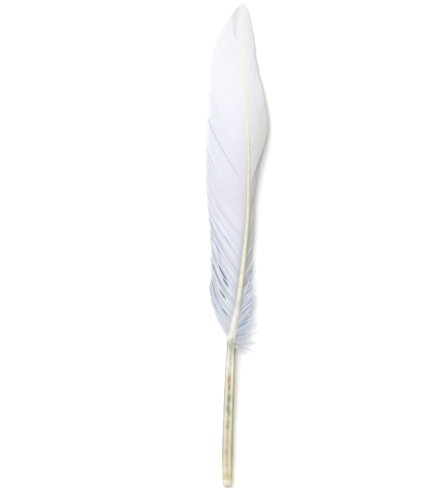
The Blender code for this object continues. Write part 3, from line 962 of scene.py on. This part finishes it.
# It starts between these heights on the shaft, in radii, and ends at a height in millimetres.
DOWN_START_HEIGHT = {BROAD: (-0.5, -0.1), NARROW: (-0.2, 1.02)}
DOWN_HEIGHT_FADE = (92, 104)
DOWN_END_HEIGHT = (0.4, 3.6)
DOWN_FLUFF = (-1, 1.8)
# How unlike each other the downy barbs are, with angles in degrees.
DOWN_ROOT_SCATTER = 0.4
START_ANGLE_SCATTER = 7
END_ANGLE_SCATTER = 13
DOWN_SWAY = (5, 24)
DOWN_BENDS = (3, 9)
DOWN_TURN_POWER = 0.7
DOWN_RISE_POWER = 1.1
DOWN_LENGTH_SHARE = (0.45, 1.0)
DOWN_WIDTH_SHARE = (0.6, 1.2)
PATH_STEPS = 30


def down_paths(side, rng):
    """The line of each downy barb from the shaft, as an array of barbs by steps by places."""
    count = DOWN_COUNT[side]
    root = np.linspace(*DOWN_ROOTS[side], count) + rng.normal(0, DOWN_ROOT_SCATTER, count)
    steps = np.linspace(0, 1, PATH_STEPS)
    first = smooth(START_ANGLE[side], root) + rng.normal(0, START_ANGLE_SCATTER, count)
    last = smooth(END_ANGLE[side], root) + rng.normal(0, END_ANGLE_SCATTER, count)
    first, last = np.radians(first)[:, None], np.radians(last)[:, None]
    sway = np.radians(rng.uniform(*DOWN_SWAY, count))[:, None]
    phase = rng.uniform(0, FULL_TURN, count)[:, None]
    phase = phase + rng.uniform(*DOWN_BENDS, count)[:, None] * steps
    angle = first + (last - first) * steps**DOWN_TURN_POWER + sway * np.sin(phase) * steps
    reach = smooth(DOWN_LENGTH[side], root) * rng.uniform(*DOWN_LENGTH_SHARE, count)
    stride = reach[:, None] / PATH_STEPS
    sideways = np.cumsum(np.sin(angle) * stride, axis=1) * side
    forward = np.cumsum(np.cos(angle) * stride, axis=1)

    start = shaft_centre(root)
    lowest, highest = DOWN_START_HEIGHT[side]
    level = (highest - lowest) * rng.uniform(0, 1, count) * (1 - ramp(*DOWN_HEIGHT_FADE, root))
    start[:, 2] += smooth(SHAFT_RADIUS, root) * (lowest + level)
    end_height = rng.uniform(*DOWN_END_HEIGHT, count)
    fluff = rng.uniform(*DOWN_FLUFF, count)[:, None] * np.sin(math.pi * steps)
    rise = (end_height - start[:, 2])[:, None] * steps**DOWN_RISE_POWER + fluff
    return root, reach, start[:, None, :] + np.stack((sideways, forward, rise), axis=-1)


# The barbules ruffle: how far for each millimetre out, and how fast the ruffles follow.
RUFFLE = 0.16
RUFFLES_ACROSS = 2.3
RUFFLES_UP = 3.1
RUFFLES_APART = 1.7
BARBULE_RISE = 0.15
LOWEST_DOWN = 0.12
# The strands lie so far apart in the pattern of their grain.
STRAND_APART = 3
DOWN_TONE = 0.98
DOWN_TONE_SCATTER = 0.06
DOWN_TIP_TONE = 0.05
# Painted light near the roots of the downy barbs, lifting the shade beside the shaft.
DOWN_ROOT_PAINTED_LIGHT = 0.12
DOWN_ROOT_PAINTED_LIGHT_RUN = 0.45


def down_mesh(side, seed):
    """Downy barbs in a row, each bent along its own path from the shaft."""
    rng = np.random.default_rng(seed)
    root, reach, paths = down_paths(side, rng)
    mesh = arrayed(downy_barb(), len(root))
    bed = mesh_points(mesh)
    barb = np.clip(np.round(bed[:, 0]), 0, len(root) - 1).astype(int)
    across, share, height = (bed[:, 0] - barb) * SQUEEZED, bed[:, 1] / UNIT_BARB, bed[:, 2]
    across *= rng.uniform(*DOWN_WIDTH_SHARE, len(root))[barb]

    along = np.clip(share, 0, PAST_END) * (PATH_STEPS - 1)
    k = np.clip(along.astype(int), 0, PATH_STEPS - 2)
    before, after = paths[barb, k], paths[barb, k + 1]
    ahead = after - before
    ahead /= np.linalg.norm(ahead, axis=1, keepdims=True)
    beside = np.stack((ahead[:, 1], -ahead[:, 0], np.zeros(len(ahead))), axis=-1)
    points = before + (after - before) * (along - k)[:, None]
    points += beside * across[:, None] + np.outer(height, (0, 0, 1))
    ruffle = RUFFLE * np.abs(across)
    points[:, 0] += ruffle * np.sin(points[:, 1] * RUFFLES_ACROSS + barb)
    ruffled = ruffle * np.sin(points[:, 1] * RUFFLES_UP + barb * RUFFLES_APART)
    points[:, 2] += ruffled + np.abs(across) * BARBULE_RISE
    points[:, 2] = np.maximum(points[:, 2], LOWEST_DOWN)
    place_points(mesh, points)

    strand = (root[barb] * STRAND_APART + across, share * reach[barb], np.ones(len(points)))
    set_vectors(mesh, "strand", strand)
    tone = DOWN_TONE + rng.normal(0, DOWN_TONE_SCATTER, len(root))[barb] + DOWN_TIP_TONE * share
    # Painted light near the roots.
    tone += DOWN_ROOT_PAINTED_LIGHT * (1 - ramp(0, DOWN_ROOT_PAINTED_LIGHT_RUN, share))
    set_floats(mesh, "tone", tone)
    return mesh


DOWN_COLOURS = ((0.35, (211, 220, 234)), (0.5, (222, 228, 239)), (0.65, (233, 237, 245)))


def down_material():
    """Soft dull down, where the lilac dye took more than on the barbs."""
    material, tree, shader = new_material("dyed_down", {
        "Roughness": 0.9, "Specular IOR Level": 0.15, "Sheen Weight": 0.3})
    strand = add_attribute(tree, "strand", "Vector")
    grain = add_fibre_grain(tree, strand, across=0.8, along=0.12, strength=0.12)
    patches = add_node(tree, "TexNoise", {"Vector": strand, "Scale": 0.08, "Detail": 2.0})
    colour = add_ramp(tree, patches.outputs["Fac"], shown_stops(DOWN_COLOURS))
    tone = add_maths(tree, "MULTIPLY", add_attribute(tree, "tone", "Fac"), grain.outputs["Tone"])
    tree.links.new(add_toned(tree, colour, tone), shader.inputs["Base Color"])
    return material


DYED_DOWN = down_material()
new_piece("broad_side_down", down_mesh(BROAD, seed=31), DYED_DOWN)
new_piece("narrow_side_down", down_mesh(NARROW, seed=32), DYED_DOWN)


# The stage: a plain white floor, soft light from the upper left with a pale fill all round,
# and a camera that looks straight down, framed as in the photograph.
# One pixel of the photograph is this many millimetres.
PIXEL = 0.576
FRAME_HEIGHT = 488
VIEW_MARGIN = 1.004
CAMERA_HEIGHT = 1.2
CAMERA_ASIDE = -14.7
SENSOR_WIDTH = 36
FLOOR_SIZE = 3

bm = bmesh.new()
bmesh.ops.create_grid(bm, x_segments=1, y_segments=1, size=FLOOR_SIZE)
floor = in_scene("floor", mesh_from(bm, "floor"))
floor_paint, _, _ = new_material("floor_paint", {
    "Base Color": (0.97, 0.97, 0.965, 1), "Roughness": 0.9, "Specular IOR Level": 0.1})
floor.data.materials.append(floor_paint)

world = bpy.data.worlds.new("fill")
world.use_nodes = True
fill = world.node_tree.nodes["Background"]
fill.inputs["Color"].default_value = (1.0, 0.985, 0.95, 1)
fill.inputs["Strength"].default_value = 0.64
bpy.context.scene.world = world

key = in_scene("key", bpy.data.lights.new("key", "AREA"))
key.data.shape = "DISK"
key.data.size = 0.9
key.data.energy = 8.7
key.data.color = (0.98, 0.99, 1.0)
key.location = (-0.30, 0.32, 1.0)
key.rotation_euler = key.location.to_track_quat("Z", "Y").to_euler()

camera = in_scene("camera", bpy.data.cameras.new("camera"))
camera.data.sensor_width = SENSOR_WIDTH
camera.data.lens = SENSOR_WIDTH * CAMERA_HEIGHT / (FRAME_HEIGHT * PIXEL * MM * VIEW_MARGIN)
camera.location = (CAMERA_ASIDE * MM, 0, CAMERA_HEIGHT)
bpy.context.scene.camera = camera
bpy.context.scene.view_settings.view_transform = "Standard"
